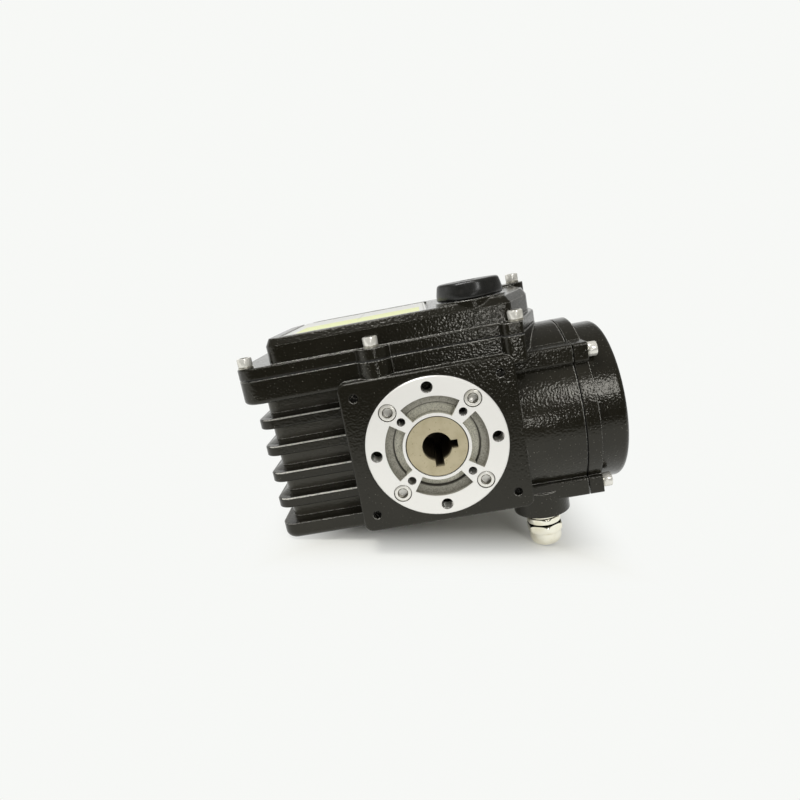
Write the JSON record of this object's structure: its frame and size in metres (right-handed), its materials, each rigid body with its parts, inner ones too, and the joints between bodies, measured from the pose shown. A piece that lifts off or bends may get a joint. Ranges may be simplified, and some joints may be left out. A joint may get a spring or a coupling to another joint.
{
  "type": "quarter-turn electric actuator",
  "caption": "Motor-driven worm-gear actuator with finned motor chamber, square mounting plate, hollow keyed output, manual knob and terminal compartment.",
  "frame": {"origin": "centre of the mounting flange's face, on the output axis", "axes": "+X towards the terminal cap, +Y from the flange face into the body, +Z towards the control cover"},
  "size_m": [0.2188, 0.1219, 0.1686],
  "materials": {
    "black_coat": "black fine-textured powder coat on cast aluminium",
    "machined_aluminium": "turned face, bright",
    "plain_aluminium": "plain sheet and cast aluminium",
    "stainless": "stainless, cold-formed",
    "bright_steel": "ground steel",
    "dark_steel": "turned steel with a brown cast",
    "nickel_brass": "nickel plated",
    "bronze": "cast bronze, machined",
    "copper_winding": "varnished copper wire",
    "seal_rubber": "matt black rubber",
    "knob_plastic": "moulded black plastic, satin",
    "gear_plastic": "natural acetal",
    "board_green": "circuit board with green mask",
    "terminal_green": "moulded terminal strip",
    "label_foil": "printed foil plate, left bare"
  },
  "bodies": {
    "housing": {"gear_housing": "black_coat", "control_cover": "black_coat", "terminal_cap": "black_coat", "mounting_flange_ring": "machined_aluminium", "flange_ring_screws": "stainless", "cover_screws": "stainless", "cover_spring_washers": "stainless", "terminal_cap_screws": "stainless", "terminal_cap_spring_washers": "stainless", "cover_gasket": "seal_rubber", "terminal_cap_seal": "seal_rubber", "gland_washer": "seal_rubber", "gland_seal": "seal_rubber", "output_shaft_seal": "seal_rubber", "knob_shaft_seal": "seal_rubber", "nameplate": "label_foil", "gland_body": "nickel_brass", "gland_nut": "nickel_brass", "stop_screws": "stainless", "stop_lock_nuts": "stainless", "front_bush": "bronze", "rear_bush": "bronze", "worm_bearings": "bright_steel", "gear_pins": "bright_steel", "pin_clips": "bright_steel", "gear_plate": "plain_aluminium", "gear_plate_screws": "stainless", "motor_can": "bright_steel", "motor_stator_core": "bright_steel", "motor_windings": "copper_winding", "motor_lower_bell": "plain_aluminium", "motor_upper_bell": "plain_aluminium", "motor_bearings": "bright_steel", "motor_screws": "stainless", "potentiometer_body": "knob_plastic", "potentiometer_bracket": "bright_steel", "start_capacitor": "plain_aluminium", "capacitor_clip": "bright_steel", "control_board": "board_green", "board_standoffs": "bright_steel", "board_relays": "knob_plastic", "terminal_block": "terminal_green"},
    "output": {"output_sleeve": "dark_steel", "worm_wheel": "bronze", "wheel_key": "bright_steel", "stop_cam": "bright_steel", "feedback_gear": "gear_plastic", "sleeve_circlip": "bright_steel"},
    "worm": {"worm_shaft": "bright_steel", "worm_shaft_gear": "bright_steel", "hand_knob": "knob_plastic", "knob_screw": "stainless"},
    "cluster_1": {"cluster_gear_1": "bright_steel"},
    "cluster_2": {"cluster_gear_2": "bright_steel"},
    "motor": {"motor_rotor": "bright_steel", "motor_pinion": "bright_steel"},
    "potentiometer": {"potentiometer_gear": "gear_plastic"}
  },
  "joints": [
    {"name": "motor_turn", "type": "hinge", "parent": "housing", "child": "motor", "pos_m": [-0.05201, 0.06798, 0], "axis": [0, 0, -1], "range_deg": [0, 70200]},
    {"name": "cluster_1_turn", "type": "hinge", "parent": "housing", "child": "cluster_1", "pos_m": [-0.01665, 0.05275, 0], "axis": [0, 0, 1], "range_deg": [0, 15600]},
    {"name": "cluster_2_turn", "type": "hinge", "parent": "housing", "child": "cluster_2", "pos_m": [0.01018, 0.04475, 0], "axis": [0, 0, 1], "range_deg": [-5200, 0]},
    {"name": "worm_turn", "type": "hinge", "parent": "housing", "child": "worm", "pos_m": [0.034, 0.031, 0], "axis": [0, 0, 1], "range_deg": [0, 3600]},
    {"name": "output_turn", "type": "hinge", "parent": "housing", "child": "output", "pos_m": [0, 0, 0], "axis": [0, 1, 0], "range_deg": [0, 90]},
    {"name": "potentiometer_turn", "type": "hinge", "parent": "housing", "child": "potentiometer", "pos_m": [0, 0, -0.03], "axis": [0, 1, 0], "range_deg": [-135, 0]}
  ],
  "couplings": [
    {"joint": "cluster_1_turn", "follows": "motor_turn", "ratio": 0.22222},
    {"joint": "cluster_2_turn", "follows": "motor_turn", "ratio": -0.074074},
    {"joint": "worm_turn", "follows": "motor_turn", "ratio": 0.051282},
    {"joint": "output_turn", "follows": "motor_turn", "ratio": 0.0012821},
    {"joint": "potentiometer_turn", "follows": "motor_turn", "ratio": -0.0019231}
  ]
}
